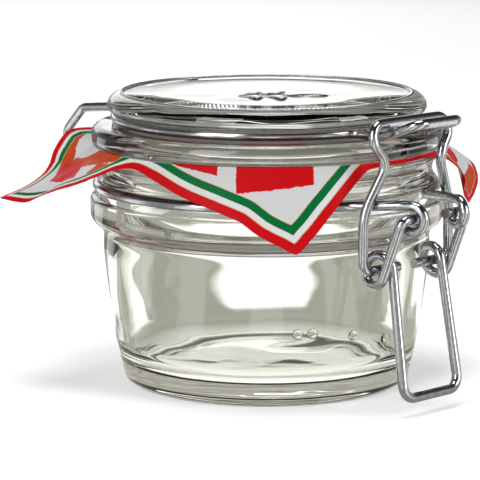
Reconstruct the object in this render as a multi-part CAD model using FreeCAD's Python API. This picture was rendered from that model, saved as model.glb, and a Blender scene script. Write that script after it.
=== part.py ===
# A small clip-top preserving jar: glass jar and lid, rubber gasket, wire neck band with a rear hinge
# and two front eyes, wire band round the lid, over-centre lever with its link, and a printed film
# kerchief that the lid clamps. Units are millimetres. The closure faces -Y, the hinge lies at +Y,
# Z is up and the origin is the middle of the base. Azimuths are measured from -Y towards +X.
import FreeCAD, Part
import os
from math import acos, atan2, cos, degrees, hypot, radians, sin, tan

from FreeCAD import Vector

# ---------------------------------------------------------------- driving dimensions
WIRE = 2.35                 # diameter of all the spring wire
SOFT_BEND = 6.0             # bend radius where a leg only changes its slope a little
LEVEL = 1.3                 # level run before such a bend
RUNNING_GAP = 0.10          # gap between the wire bands and their grooves

# glass jar
RIM_Z = 56.2                # top of the sealing rim
RIM_R = 41.3                # outer radius of the sealing rim
BODY_TOP_R = RIM_R - 1.8    # outer radius of the body just under the shoulder bead
BODY_FOOT_R = BODY_TOP_R - 4.6  # outer radius of the body just above the heel
BASE_R = BODY_FOOT_R - 1.5  # radius of the ring that the jar stands on
HEEL_H = 1.6                # height of the heel's rounding
BODY_TOP_Z = RIM_Z - 20.0   # where the body meets the bead
BEAD_R = RIM_R + 1.4        # outer radius of the shoulder bead
BEAD_LOW_Z = RIM_Z - 16.6
BEAD_TOP_Z = RIM_Z - 10.8
NECK_R = RIM_R - 1.3        # waist of the neck above the wire
MOUTH_R = RIM_R - 5.5       # inner radius of the mouth
WALL = 3.0                  # glass wall of the body
FLOOR = 5.0                 # glass thickness of the floor at its edge
PUSH_UP = 1.6               # rise of the underside inside its standing ring
NECK_WIRE_R = NECK_R + 1.0  # centre-line radius of the neck band
NECK_WIRE_Z = RIM_Z - 8.3

# gasket, film and lid
GASKET = 1.30               # thickness of the rubber ring
GASKET_IN_R = MOUTH_R - 1.2
GASKET_OUT_R = RIM_R - 0.4
FILM = 0.20                 # thickness of the film kerchief
GASKET_TOP = RIM_Z + GASKET
LID_Z = GASKET_TOP + FILM   # underside of the lid
FLANGE_R = RIM_R + 1.0      # outer radius of the lid's flange
FLANGE_H = 5.0              # height of the flange to the foot of the lid's band groove
DISC_R = FLANGE_R - 3.8     # outer radius of the lid's disc
DISC_H = 12.2               # height of the lid's top above its underside
DISC_EDGE = 2.9             # rounding of the disc's edge
TOP_RING_R = DISC_R - 3.4   # radius of the fine ring on the lid's top
TOP_RING_W = 1.0
TOP_RING_H = 0.45
HOLLOW_R = MOUTH_R - 4.3    # hollow in the lid's underside
HOLLOW_H = 7.6
LID_WIRE_R = DISC_R - 1.9   # centre-line radius of the lid's band
LID_WIRE_H = FLANGE_H + WIRE / 2 + 0.125  # its height above the lid's underside

# rear hinge
HINGE_Y = NECK_WIRE_R + 13.5  # the hinge axle's distance behind the jar's axis
HINGE_Z = NECK_WIRE_Z - 1.3
HINGE_LEG_X = 12.0          # half the spacing of the lid band's two rear legs
HINGE_FIT = 0.08            # gap between the axle and the hooks round it
AXLE_SIDE_GAP = 1.0         # between a hook and the neck band's leg beside it

# front closure
NOSE_X = 7.5                # half the width of the lid band's nose
NOSE_Y = FLANGE_R + 13.0    # reach of the nose from the jar's axis
NOSE_Z = LID_Z + LID_WIRE_H + 3.7
NOSE_SHELF = 2.9            # the nose runs level this far past the flange, then slopes up
NOSE_LIFT = 0.2
EYE_X = 7.7                 # half the spacing of the neck band's two eyes
EYE_Y = NECK_WIRE_R + 13.3  # lever pivot
EYE_Z = NECK_WIRE_Z - 1.8
EYE_R = 3.0                 # centre-line radius of an eye
EYE_TURN = 16.0             # angle of each eye's plane to the Y axis, degrees
COIL_Y = EYE_Y - 8.7        # link pivot
COIL_Z = EYE_Z - 12.6
COIL_R = 3.4                # centre-line radius of the lever's coils
COIL_IN_X = 8.4             # lever leg's distance from the middle at the coil
COIL_OUT_X = 11.2           # short arm's distance from the middle
LEVER_PIN_X = 3.4           # inner end of the lever's pins
HANDLE_Y = EYE_Y - 0.3      # crossbar of the lever's handle
HANDLE_Z = COIL_Z - 29.1
HANDLE_X = 9.4              # half width of the handle at its crossbar
LINK_PIN_X = 2.7            # inner end of the link's pins
LINK_LOW_X = 14.6           # half width of the link beside the coils
LINK_STRAIGHT = 13.5        # height of the link's upright lower arms
LINK_WAIST_X = 8.9          # half width at its waist, at the flange
LINK_WAIST_Z = LID_Z + 0.5
LINK_BAR_Y = NOSE_Y - 9.1   # crossbar over the nose
LINK_BAR_Z = NOSE_Z - 2.75 + WIRE
LINK_SHOULDER_X = 15.9      # where the slanting upper arms would meet the crossbar's line
LINK_Y = FLANGE_R + 5.3     # plane of the link at its waist

# film kerchief: the cut edge of each side, from one corner's tip to the next, as points of
# (azimuth, radius, height) for a rim of KERCHIEF_RIM, and they move with the rim
KERCHIEF_SIDES = (
    ((-126.4, 64.5, 45.4), (-121.3, 59.3, 45.0), (-118.2, 55.9, 46.9), (-113.9, 52.8, 48.8),
     (-109.1, 50.3, 50.3), (-104.7, 47.6, 52.2), (-98.0, 44.6, 54.6), (-91.0, 43.0, 55.4),
     (-84.0, 42.9, 53.9), (-72.3, 43.2, 50.5), (-62.0, 43.8, 48.0), (-53.0, 44.3, 45.5),
     (-47.5, 44.6, 42.4), (-41.1, 44.8, 39.9), (-36.4, 44.9, 38.0)),
    ((-36.4, 44.9, 38.0), (-32.2, 44.7, 41.1), (-25.9, 44.2, 46.5), (-18.7, 43.2, 52.0),
     (-12.0, 42.9, 56.3), (5.0, 42.7, 56.8), (20.0, 42.9, 56.7), (29.0, 44.6, 55.2),
     (35.3, 47.0, 52.0), (38.4, 48.0, 49.3), (41.3, 47.6, 45.7), (43.8, 49.0, 42.9)),
    ((43.8, 49.0, 42.9), (48.4, 50.8, 45.0), (52.7, 52.2, 47.8), (56.6, 51.9, 50.9),
     (63.0, 50.3, 52.4), (73.6, 48.6, 53.4), (88.0, 45.0, 55.0), (108.0, 44.4, 55.2),
     (124.0, 47.0, 53.2), (135.0, 49.8, 50.4), (143.6, 51.5, 47.2)),
    ((143.6, 51.5, 47.2), (152.0, 49.6, 50.4), (164.0, 46.4, 53.6), (178.0, 43.8, 56.0),
     (190.0, 44.6, 57.4), (199.0, 47.0, 58.4), (208.5, 50.2, 58.8), (212.0, 51.6, 57.4),
     (215.6, 53.0, 54.2), (218.8, 53.5, 51.2), (222.9, 55.1, 48.9), (228.0, 58.9, 46.9),
     (233.6, 64.5, 45.4)),
)
KERCHIEF_RIM = (41.3, 56.2)  # radius and height
KERCHIEF_LIFT = ((-36.4, 0.0), (48.0, 0.7), (143.6, 0.5), (-126.4, 0.8))  # how level each corner leaves
KERCHIEF_CLEAR = 0.9        # the film hangs this far outside the sealing rim

# ---------------------------------------------------------------- derived sizes
WIRE_R = WIRE / 2
LID_WIRE_Z = LID_Z + LID_WIRE_H
HOOK_R = WIRE + HINGE_FIT   # centre-line radius of a hook round the axle
AXLE_X = HINGE_LEG_X + WIRE + AXLE_SIDE_GAP


# ---------------------------------------------------------------- helpers
def polar(radius, azimuth, z):
    """Point at an azimuth in degrees, measured from -Y towards +X."""
    return Vector(radius * sin(radians(azimuth)), -radius * cos(radians(azimuth)), z)


def other(point):
    """The matching point on the other side of the closure's plane."""
    return Vector(-point.x, point.y, point.z)


def mirror_x(corners):
    """The matching corners on the other side, in reverse order."""
    return [(other(point), radius) for point, radius in reversed(corners)]


def fillet_points(before, corner, after, radius):
    """Start, middle and end of the arc that rounds a corner."""
    a = (before - corner).normalize()
    b = (after - corner).normalize()
    half = acos(max(-1.0, min(1.0, a.dot(b)))) / 2
    reach = radius / tan(half)
    bisector = (a + b).normalize()
    centre = corner + bisector * (radius / sin(half))
    return corner + a * reach, centre - bisector * radius, corner + b * reach


class Path:
    """A run of straight lines and arcs for a bent wire."""

    def __init__(self, start):
        self.edges = []
        self.at = start

    def line(self, end):
        if (end - self.at).Length > 1e-4:
            self.edges.append(Part.LineSegment(self.at, end).toShape())
            self.at = end

    def arc(self, middle, end):
        self.edges.append(Part.Arc(self.at, middle, end).toShape())
        self.at = end

    def bends(self, corners):
        """Straight runs through (point, bend radius) pairs, the last one a plain end."""
        for i, (point, radius) in enumerate(corners):
            if i == len(corners) - 1 or radius <= 0:
                self.line(point)
            else:
                first, middle, last = fillet_points(self.at, point, corners[i + 1][0], radius)
                self.line(first)
                self.arc(middle, last)

    def curve(self, points):
        """Arcs through an odd run of points, the first of them where the path now ends."""
        for i in range(0, len(points) - 2, 2):
            self.arc(points[i + 1], points[i + 2])

    def wire_solid(self, diameter):
        """The round wire that follows the path."""
        spine = Part.Wire(self.edges)
        first = spine.OrderedEdges[0]
        start = first.valueAt(first.FirstParameter)
        direction = first.tangentAt(first.FirstParameter)
        if (start - spine.OrderedVertexes[0].Point).Length > 1e-4:
            start = first.valueAt(first.LastParameter)
            direction = first.tangentAt(first.LastParameter) * -1
        section = Part.Wire([Part.makeCircle(diameter / 2, start, direction)])
        shell = Part.BRepOffsetAPI.MakePipeShell(spine)
        shell.add(section)
        shell.build()
        shell.makeSolid()
        return shell.shape()


def around(centre, radius, first, last, x_first, x_last, count):
    """Points of a turn about an X axis, drifting smoothly sideways from x_first to x_last.

    Angles in degrees run from the outward direction (-Y) towards +Z."""
    points = []
    for i in range(count + 1):
        t = i / count
        drift = t * t * (3 - 2 * t)
        angle = radians(first + (last - first) * t)
        x = x_first + (x_last - x_first) * drift
        points.append(Vector(x, -(centre[0] + radius * cos(angle)), centre[1] + radius * sin(angle)))
    return points


def revolve(edges):
    """Solid of revolution about Z from the edges of a closed half profile."""
    face = Part.Face(Part.Wire(edges))
    return face.revolve(Vector(0, 0, 0), Vector(0, 0, 1), 360)


def profile(steps):
    """Closed half profile in the XZ plane.

    Each step is (kind, points): 'line' and 'spline' run on through their points, 'arc' takes a
    middle and an end. Points are (radius, height)."""
    at = Vector(steps[0][1][0][0], 0, steps[0][1][0][1])
    start = at
    edges = []
    for kind, raw in steps[1:]:
        points = [Vector(r, 0, z) for r, z in raw]
        if kind == "line":
            for point in points:
                if (point - at).Length > 1e-4:
                    edges.append(Part.LineSegment(at, point).toShape())
                    at = point
        elif kind == "arc":
            edges.append(Part.Arc(at, points[0], points[1]).toShape())
            at = points[1]
        else:
            curve = Part.BSplineCurve()
            curve.interpolate([at] + points)
            edges.append(curve.toShape())
            at = points[-1]
    edges.append(Part.LineSegment(at, start).toShape())
    return edges


def save(shape, name):
    shape.exportStep("parts/" + name + ".step")


# ---------------------------------------------------------------- glass jar
def jar_glass():
    groove = WIRE_R + RUNNING_GAP
    groove_low = NECK_WIRE_Z - groove
    groove_high = NECK_WIRE_Z + groove
    taper = (BODY_TOP_R - BODY_FOOT_R) / (BODY_TOP_Z - HEEL_H)
    body_mid_z = BODY_TOP_Z * 0.42
    body_mid_r = BODY_FOOT_R + taper * (body_mid_z - HEEL_H) + 0.75
    inner_top_r = BODY_TOP_R - WALL
    inner_foot_r = BODY_FOOT_R - WALL + 1.0
    step_z = groove_low - 5.0
    edges = profile((
        ("start", ((0.0, PUSH_UP),)),
        ("line", ((BASE_R - 6.0, PUSH_UP),)),
        ("arc", ((BASE_R - 3.6, PUSH_UP * 0.6), (BASE_R - 2.4, 0.0))),
        ("line", ((BASE_R, 0.0),)),
        ("arc", ((BODY_FOOT_R - 0.45, HEEL_H * 0.35), (BODY_FOOT_R, HEEL_H))),
        ("spline", ((body_mid_r, body_mid_z), (BODY_TOP_R - 0.1, BODY_TOP_Z - 6.0),
                    (BODY_TOP_R, BODY_TOP_Z))),
        ("arc", ((BODY_TOP_R + 0.9, BODY_TOP_Z + 1.7), (BEAD_R - 1.0, BEAD_LOW_Z - 0.6))),
        ("arc", ((BEAD_R - 0.3, BEAD_LOW_Z + 0.3), (BEAD_R, BEAD_LOW_Z + 1.6))),
        ("line", ((BEAD_R, BEAD_TOP_Z - 1.2),)),
        ("arc", ((BEAD_R - 0.35, BEAD_TOP_Z - 0.35), (BEAD_R - 1.2, BEAD_TOP_Z))),
        ("line", ((NECK_WIRE_R, groove_low),)),
        ("arc", ((NECK_WIRE_R - groove, NECK_WIRE_Z), (NECK_WIRE_R, groove_high))),
        ("line", ((NECK_WIRE_R + 0.2, groove_high + 0.35),)),
        ("arc", ((NECK_R, (groove_high + RIM_Z) / 2), (RIM_R - 0.3, RIM_Z - 1.5))),
        ("arc", ((RIM_R, RIM_Z - 0.8), (RIM_R - 0.5, RIM_Z))),
        ("line", ((MOUTH_R + 1.0, RIM_Z),)),
        ("arc", ((MOUTH_R + 0.3, RIM_Z - 0.3), (MOUTH_R, RIM_Z - 1.0))),
        ("line", ((MOUTH_R, step_z),)),
        ("arc", ((MOUTH_R + 0.45, step_z - 1.6), (inner_top_r, BODY_TOP_Z - 2.0))),
        ("line", ((inner_foot_r, FLOOR + 6.0),)),
        ("arc", ((inner_foot_r - 1.9, FLOOR + 1.7), (inner_foot_r - 6.2, FLOOR))),
        ("line", ((0.0, FLOOR + 0.6),)),
    ))
    return revolve(edges)


# ---------------------------------------------------------------- gasket and lid
def gasket():
    """Flat rubber ring with its outer edges rounded."""
    ring = Part.makeCylinder(GASKET_OUT_R, GASKET, Vector(0, 0, RIM_Z))
    hole = Part.makeCylinder(GASKET_IN_R, GASKET, Vector(0, 0, RIM_Z))
    body = ring.cut(hole)
    outer = [e for e in body.Edges if abs(e.BoundBox.XMax - GASKET_OUT_R) < 1e-3 and e.Length > GASKET_OUT_R]
    return body.makeFillet(GASKET * 0.27, outer)


def lid_glass():
    foot = LID_Z
    top = LID_Z + DISC_H
    groove = WIRE_R + RUNNING_GAP
    groove_high = LID_WIRE_Z + groove
    lip_z = foot + FLANGE_H
    lip_r = LID_WIRE_R + (groove ** 2 - min(groove, LID_WIRE_Z - lip_z) ** 2) ** 0.5
    ring_in = TOP_RING_R - TOP_RING_W / 2
    ring_out = TOP_RING_R + TOP_RING_W / 2
    edges = profile((
        ("start", ((0.0, foot + HOLLOW_H),)),
        ("line", ((HOLLOW_R - 4.0, foot + HOLLOW_H),)),
        ("arc", ((HOLLOW_R - 1.0, foot + HOLLOW_H - 1.4), (HOLLOW_R, foot + HOLLOW_H - 4.4))),
        ("line", ((HOLLOW_R + 0.4, foot), (FLANGE_R - 1.2, foot))),
        ("arc", ((FLANGE_R - 0.35, foot + 0.35), (FLANGE_R, foot + 1.2))),
        ("line", ((FLANGE_R, lip_z - 2.2),)),
        ("arc", ((FLANGE_R - 0.7, lip_z - 0.8), (FLANGE_R - 2.3, lip_z - 0.25))),
        ("line", ((lip_r, lip_z),)),
        ("arc", ((LID_WIRE_R - groove, LID_WIRE_Z), (LID_WIRE_R, groove_high))),
        ("line", ((DISC_R - 0.9, groove_high + 0.25),)),
        ("arc", ((DISC_R - 0.1, groove_high + 1.0), (DISC_R, groove_high + 1.9))),
        ("arc", ((DISC_R - DISC_EDGE * 0.28, top - DISC_EDGE * 0.32), (DISC_R - DISC_EDGE, top))),
        ("line", ((ring_out, top), (ring_out, top + TOP_RING_H), (ring_in, top + TOP_RING_H),
                  (ring_in, top - 0.4), (0.0, top - 0.4))),
    ))
    return revolve(edges)


# ---------------------------------------------------------------- film kerchief
def kerchief_edge(azimuth):
    """Point of the hanging cut edge at an azimuth."""
    first = KERCHIEF_SIDES[0][0][0]
    azimuth = first + (azimuth - first) % 360.0
    side = next(s for s in KERCHIEF_SIDES if azimuth <= s[-1][0])
    i = next(k for k in range(len(side) - 1) if azimuth <= side[k + 1][0])
    before = side[max(i - 1, 0)]
    after = side[min(i + 2, len(side) - 1)]
    here, there = side[i], side[i + 1]
    t = (azimuth - here[0]) / (there[0] - here[0])
    radius, z = [
        0.5 * (2 * q + (r - p) * t + (2 * p - 5 * q + 4 * r - w) * t * t + (3 * q - p - 3 * r + w) * t ** 3)
        for p, q, r, w in zip(before[1:], here[1:], there[1:], after[1:])]
    return polar(radius + RIM_R - KERCHIEF_RIM[0], azimuth, z + RIM_Z - KERCHIEF_RIM[1])


def kerchief_lift(azimuth):
    """How level the film leaves the rim: 0 straight down, 1 outward."""
    lift = 0.0
    for corner, most in KERCHIEF_LIFT:
        offset = abs((azimuth - corner + 180.0) % 360.0 - 180.0)
        lift += most * max(0.0, 1.0 - offset / 45.0)
    return lift


def kerchief_point(azimuth, share):
    """Middle surface of the hanging film: share 0 at the rim, 1 at its edge."""
    start = polar(RIM_R + KERCHIEF_CLEAR, azimuth, GASKET_TOP + FILM / 2)
    end = kerchief_edge(azimuth)
    outward = polar(1.0, azimuth, 0.0)
    length = (end - start).Length
    lift = kerchief_lift(azimuth)
    leaving = start + outward * (lift * length * 0.45) - Vector(0, 0, (1.0 - lift) * length * 0.3)
    arriving = end + (start - end) * 0.3 + outward * (lift * length * 0.12)
    t = share
    return (start * (1 - t) ** 3 + leaving * (3 * t * (1 - t) ** 2) + arriving * (3 * t * t * (1 - t))
            + end * t ** 3)


def kerchief():
    """Thin faceted sheet: flat over the mouth, then falling all round to its cut edge."""
    columns = 120
    rows = 6
    step = 360.0 / columns
    azimuths = [KERCHIEF_SIDES[0][0][0] + i * step for i in range(columns)]
    rings = [[polar(GASKET_IN_R, a, GASKET_TOP + FILM / 2) for a in azimuths]]
    for row in range(rows + 1):
        rings.append([kerchief_point(a, row / rows) for a in azimuths])
    centre = Vector(0, 0, GASKET_TOP + FILM / 2)

    def normal(k, i):
        """Direction across the sheet at ring k, column i."""
        if k <= 1:
            return Vector(0, 0, 1)
        along = rings[k][(i + 1) % columns] - rings[k][i - 1]
        down = rings[k][i] - rings[k - 1][i]
        return down.cross(along).normalize()

    upper, lower = [], []
    for k, ring in enumerate(rings):
        offsets = [normal(k, i) * (FILM / 2) for i in range(columns)]
        upper.append([p + o for p, o in zip(ring, offsets)])
        lower.append([p - o for p, o in zip(ring, offsets)])
    lift = Vector(0, 0, FILM / 2)
    facets = []
    for i in range(columns):
        j = (i + 1) % columns
        facets.append((centre + lift, upper[0][i], upper[0][j]))
        facets.append((centre - lift, lower[0][j], lower[0][i]))
        for k in range(len(rings) - 1):
            for a, b, c, d in ((upper[k][i], upper[k + 1][i], upper[k + 1][j], upper[k][j]),
                               (lower[k][i], lower[k][j], lower[k + 1][j], lower[k + 1][i])):
                facets.append((a, b, c))
                facets.append((a, c, d))
        a, b, c, d = upper[-1][i], lower[-1][i], lower[-1][j], upper[-1][j]
        facets.append((a, b, c))
        facets.append((a, c, d))
    faces = [Part.Face(Part.makePolygon([a, b, c, a])) for a, b, c in facets]
    shell = Part.makeShell(faces)
    solid = Part.makeSolid(shell)
    if solid.Volume < 0:
        solid.reverse()
    return solid


# ---------------------------------------------------------------- wire bands
def band_leaving(radius, leg_x, z, bend, side):
    """Where a band at a radius turns outward, by a bend, into a leg parallel to Y at leg_x.

    Returns the bend's point on the band, its middle and its point on the leg, for the side of the
    leg nearer -X (side -1) or +X (side 1), all for a leg that runs towards -Y."""
    centre_x = leg_x + bend
    centre_y = ((radius + bend) ** 2 - centre_x ** 2) ** 0.5
    on_band = Vector(centre_x, -centre_y, 0) * (radius / (radius + bend))
    on_leg = Vector(leg_x, -centre_y, 0)
    centre = Vector(centre_x, -centre_y, 0)
    middle = centre + ((on_band - centre) + (on_leg - centre)).normalize() * bend
    return [Vector(side * p.x, p.y, z) for p in (on_band, middle, on_leg)]


def lid_wire():
    """Band round the lid: hooks round the rear axle, the groove, and the nose at the front."""
    z = LID_WIRE_Z
    front = band_leaving(LID_WIRE_R, NOSE_X, z, 3.2, 1)
    rear = [Vector(p.x, -p.y, p.z) for p in band_leaving(LID_WIRE_R, HINGE_LEG_X, z, 3.2, 1)]
    knee = Vector(HINGE_LEG_X, HINGE_Y - 1.1, z - 1.6)
    heel = Vector(HINGE_LEG_X, HINGE_Y + 5.7, HINGE_Z + 9.0)
    centre = (-HINGE_Y, HINGE_Z)
    reach = hypot(heel.y - HINGE_Y, heel.z - HINGE_Z)
    toward = degrees(atan2(heel.z - HINGE_Z, -(heel.y - HINGE_Y)))
    touch = toward + degrees(acos(HOOK_R / reach))
    hook = around(centre, HOOK_R, touch, touch + 262.0, HINGE_LEG_X, HINGE_LEG_X, 8)
    rise = Vector(NOSE_X, front[2].y - LEVEL, z)
    shelf = Vector(NOSE_X, -(FLANGE_R + NOSE_SHELF), z + NOSE_LIFT)
    tip = Vector(NOSE_X, -NOSE_Y, NOSE_Z)
    fall = Vector(HINGE_LEG_X, rear[2].y + LEVEL, z)
    nose = [(rise, SOFT_BEND), (shelf, SOFT_BEND), (tip, 2.7)]
    leg = [(heel, 3.0), (knee, 3.4), (fall, SOFT_BEND), (rear[2], 0)]

    path = Path(hook[-1])
    path.curve(hook[::-1])
    path.bends(leg)
    path.arc(rear[1], rear[0])
    side = polar(LID_WIRE_R, 90.0, z)
    path.arc(side, front[0])
    path.arc(front[1], front[2])
    path.bends(nose + mirror_x(nose) + [(other(front[2]), 0)])
    path.arc(other(front[1]), other(front[0]))
    path.arc(other(side), other(rear[0]))
    path.arc(other(rear[1]), other(rear[2]))
    path.bends(mirror_x(leg[:-1]) + [(other(hook[0]), 0)])
    path.curve([other(p) for p in hook])
    return path.wire_solid(WIRE)


def neck_wire():
    """Band round the neck: an eye at each end in front, and the hinge's axle behind."""
    z = NECK_WIRE_Z
    turn = radians(EYE_TURN)
    outward = Vector(-sin(turn), -cos(turn), 0)
    centre = Vector(EYE_X, -EYE_Y, EYE_Z)
    eye = [centre + outward * (EYE_R * cos(radians(a))) + Vector(0, 0, EYE_R * sin(radians(a)))
           for a in (-165, -122.5, -80, -37.5, 5, 47.5, 90)]
    back = EYE_Y * cos(turn) + EYE_X * sin(turn)
    miss = EYE_Y ** 2 + EYE_X ** 2 - NECK_WIRE_R ** 2
    run = back - (back ** 2 - miss) ** 0.5
    corner = centre - outward * run
    corner.z = z
    spread = 14.0
    band_start = polar(NECK_WIRE_R, degrees(atan2(corner.x, -corner.y)) + spread / 2, z)
    tangent = Vector(band_start.y, -band_start.x, 0).normalize()
    gap = (corner - band_start).Length
    knuckle = band_start + tangent * (gap * 0.55)
    rear = [Vector(p.x, -p.y, p.z) for p in band_leaving(NECK_WIRE_R, AXLE_X, z, 2.6, 1)]
    side = polar(NECK_WIRE_R, 90.0, z)
    arrival = eye[-1] - outward * (LEVEL * 2)
    front = [(arrival, SOFT_BEND), (knuckle, 7.0), (band_start, 0)]
    hinge = [(Vector(AXLE_X, rear[2].y + LEVEL, z), SOFT_BEND), (Vector(AXLE_X, HINGE_Y, HINGE_Z), 2.4)]

    path = Path(eye[0])
    path.curve(eye)
    path.bends(front)
    path.arc(side, rear[0])
    path.arc(rear[1], rear[2])
    path.bends(hinge + mirror_x(hinge) + [(other(rear[2]), 0)])
    path.arc(other(rear[1]), other(rear[0]))
    path.arc(other(side), other(band_start))
    path.bends(mirror_x(front[:-1]) + [(other(eye[-1]), 0)])
    path.curve([other(p) for p in eye[::-1]])
    return path.wire_solid(WIRE)


# ---------------------------------------------------------------- closure
def bail_lever():
    """Pins in the eyes, short arms, a coil each side and the hanging handle."""
    coil = (COIL_Y, COIL_Z)
    span = hypot(EYE_Y - COIL_Y, EYE_Z - COIL_Z)
    slope = degrees(atan2(EYE_Z - COIL_Z, EYE_Y - COIL_Y))
    touch = slope - degrees(acos(COIL_R / span))
    drop = hypot(HANDLE_Y - COIL_Y, HANDLE_Z - COIL_Z)
    fall = degrees(atan2(HANDLE_Z - COIL_Z, HANDLE_Y - COIL_Y))
    leave = fall + degrees(acos(COIL_R / drop)) - 360.0
    turns = around(coil, COIL_R, touch, leave, COIL_OUT_X, COIL_IN_X, 16)
    pin_end = Vector(LEVER_PIN_X, -EYE_Y, EYE_Z)
    elbow = Vector(COIL_OUT_X, -EYE_Y, EYE_Z)
    corner = Vector(HANDLE_X, -HANDLE_Y, HANDLE_Z)
    straight = Vector(COIL_IN_X, corner.y, corner.z) - turns[-1]
    handle = [(turns[-1] + straight.normalize() * (LEVEL * 1.5), SOFT_BEND), (corner, 3.2)]

    path = Path(pin_end)
    path.bends([(elbow, 1.9), (turns[0], 0)])
    path.curve(turns)
    path.bends(handle + mirror_x(handle) + [(other(turns[-1]), 0)])
    path.curve([other(p) for p in turns[::-1]])
    path.bends([(other(elbow), 1.9), (other(pin_end), 0)])
    return path.wire_solid(WIRE)


def bail_link():
    """Hourglass frame from the pins in the lever's coils to the crossbar over the nose."""
    pin_end = Vector(LINK_PIN_X, -COIL_Y, COIL_Z)
    half = [(Vector(LINK_LOW_X, -COIL_Y, COIL_Z), 2.6),
            (Vector(LINK_LOW_X, -COIL_Y, COIL_Z + LINK_STRAIGHT), 14.0),
            (Vector(LINK_WAIST_X, -LINK_Y, LINK_WAIST_Z), 4.5),
            (Vector(LINK_SHOULDER_X, -LINK_BAR_Y, LINK_BAR_Z), 3.2)]
    path = Path(pin_end)
    path.bends(half + mirror_x(half) + [(other(pin_end), 0)])
    return path.wire_solid(WIRE)


os.makedirs("parts", exist_ok=True)
save(jar_glass(), "jar_glass")
save(gasket(), "gasket")
save(kerchief(), "kerchief")
save(lid_glass(), "lid_glass")
save(lid_wire(), "lid_wire")
save(neck_wire(), "neck_wire")
save(bail_lever(), "bail_lever")
save(bail_link(), "bail_link")
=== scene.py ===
"""Looks of a small clip-top preserving jar: clear glass, bright steel wire, rubber ring, striped film.

Lengths in the shape functions are millimetres, and MM turns them into metres when a mesh is made.
The closure faces -Y, the hinge lies at +Y, and azimuths run from -Y towards +X."""

from math import cos, pi, radians, sin

import bpy
import numpy as np
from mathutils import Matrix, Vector


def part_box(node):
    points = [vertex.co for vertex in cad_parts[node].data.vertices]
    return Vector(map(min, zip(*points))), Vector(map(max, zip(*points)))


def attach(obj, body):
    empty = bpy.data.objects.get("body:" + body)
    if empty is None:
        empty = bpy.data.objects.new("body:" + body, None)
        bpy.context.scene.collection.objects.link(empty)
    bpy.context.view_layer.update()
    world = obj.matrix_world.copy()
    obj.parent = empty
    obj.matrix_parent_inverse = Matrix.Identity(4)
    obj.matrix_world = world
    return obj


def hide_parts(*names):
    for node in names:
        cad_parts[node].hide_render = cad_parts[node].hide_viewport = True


MM = 0.001
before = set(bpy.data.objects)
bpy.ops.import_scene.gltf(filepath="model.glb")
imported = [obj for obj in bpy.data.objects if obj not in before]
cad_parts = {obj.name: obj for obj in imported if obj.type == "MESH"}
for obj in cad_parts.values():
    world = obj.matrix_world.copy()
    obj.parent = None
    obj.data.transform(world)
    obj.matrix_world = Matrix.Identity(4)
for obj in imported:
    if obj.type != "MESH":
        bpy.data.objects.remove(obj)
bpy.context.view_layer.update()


# ---------------------------------------------------------------- sizes read from the frame
def node_mm(node):
    low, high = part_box(node)
    return [v / MM for v in low], [v / MM for v in high]


RIM_Z = node_mm("jar_glass")[1][2]
LID_Z = node_mm("lid_glass")[0][2]
FILM_Z = (node_mm("gasket")[1][2] + LID_Z) / 2
LID_TOP = node_mm("lid_glass")[1][2]

# ---------------------------------------------------------------- glass sizes
WIRE_R = 1.175
GROOVE = WIRE_R + 0.10
NECK_WIRE_R = 41.0
NECK_WIRE_Z = 47.9
LID_WIRE_R = 36.6
LID_WIRE_Z = LID_Z + 6.3
BODY_TOP_R, BODY_TOP_Z = 39.5, 36.2
BODY_FOOT_R, HEEL_H = 34.9, 1.6
BASE_R, PUSH_UP = 33.4, 1.6
BEAD_R, BEAD_LOW_Z, BEAD_TOP_Z = 42.7, 39.6, 45.4
NECK_R, RIM_R, MOUTH_R = 40.0, 41.3, 35.8
WALL, FLOOR = 3.0, 5.0
FLANGE_R, FLANGE_H = 42.3, 5.0
DISC_R, DISC_H, DISC_EDGE = 38.5, 12.2, 2.9
HOLLOW_R, HOLLOW_H = 31.5, 7.6
TOP_RING_R, TOP_RING_W, TOP_RING_H = 35.1, 1.0, 0.45
DISC_DIP = 0.4              # the lid's middle lies this far below the top of its disc
# swells of the inner wall: (height, waves round the jar, phase, phase for each millimetre of height)
SWELLS = ((0.10, 2, 0.4, 0.0), (0.07, 5, 0.0, 0.09), (0.05, 9, 0.0, -0.16))
LATHE_SIDES = 288
ARC_STEPS, SPLINE_STEPS = 8, 10
CORNER_REACH = 0.12
STRAIGHT = -0.93             # cosine past which two profile steps count as one line
KNURL_H, KNURL_CLEAR = 0.42, 0.02
TEETH, TOOTH_STEPS = 200, 5
RELIEF_H, RELIEF_CLEAR = 0.55, 0.02
LEAF_ROWS, LEAF_COLS = 24, 9
# a leaf of the sprig on the lid: (stalk's place, heading in degrees, length, width)
SPRIG = (((-9.0, 1.0), -45.0, 13.0, 1.1), ((-0.6, -7.4), -45.0, 10.0, 4.4), ((-3.0, -5.0), 25.0, 9.0, 4.0),
         ((-3.6, -4.4), -115.0, 9.0, 4.0), ((-6.5, -1.5), 30.0, 8.0, 3.6), ((-7.1, -0.9), -120.0, 8.0, 3.6))
DOT_R, DOT_H = 1.3, 0.45
DOT_RINGS, DOT_SIDES = 6, 24
BODY_SWELL = 0.62            # how far the wall swells past a straight taper where the dots are
# each pressed dot's (azimuth, height)
DOTS = ((-34.0, 18.0), (-28.6, 18.0), (-12.6, 16.7), (3.0, 14.6))


# ---------------------------------------------------------------- mesh helpers
def new_mesh(name, verts, faces, smooth=True):
    mesh = bpy.data.meshes.new(name)
    mesh.from_pydata([tuple(v) for v in verts], [], faces)
    mesh.validate()
    obj = bpy.data.objects.new(name, mesh)
    bpy.context.scene.collection.objects.link(obj)
    for polygon in mesh.polygons:
        polygon.use_smooth = smooth
    return obj


def polar(radius, azimuth, z):
    return np.array((radius * sin(radians(azimuth)), -radius * cos(radians(azimuth)), z))


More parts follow.
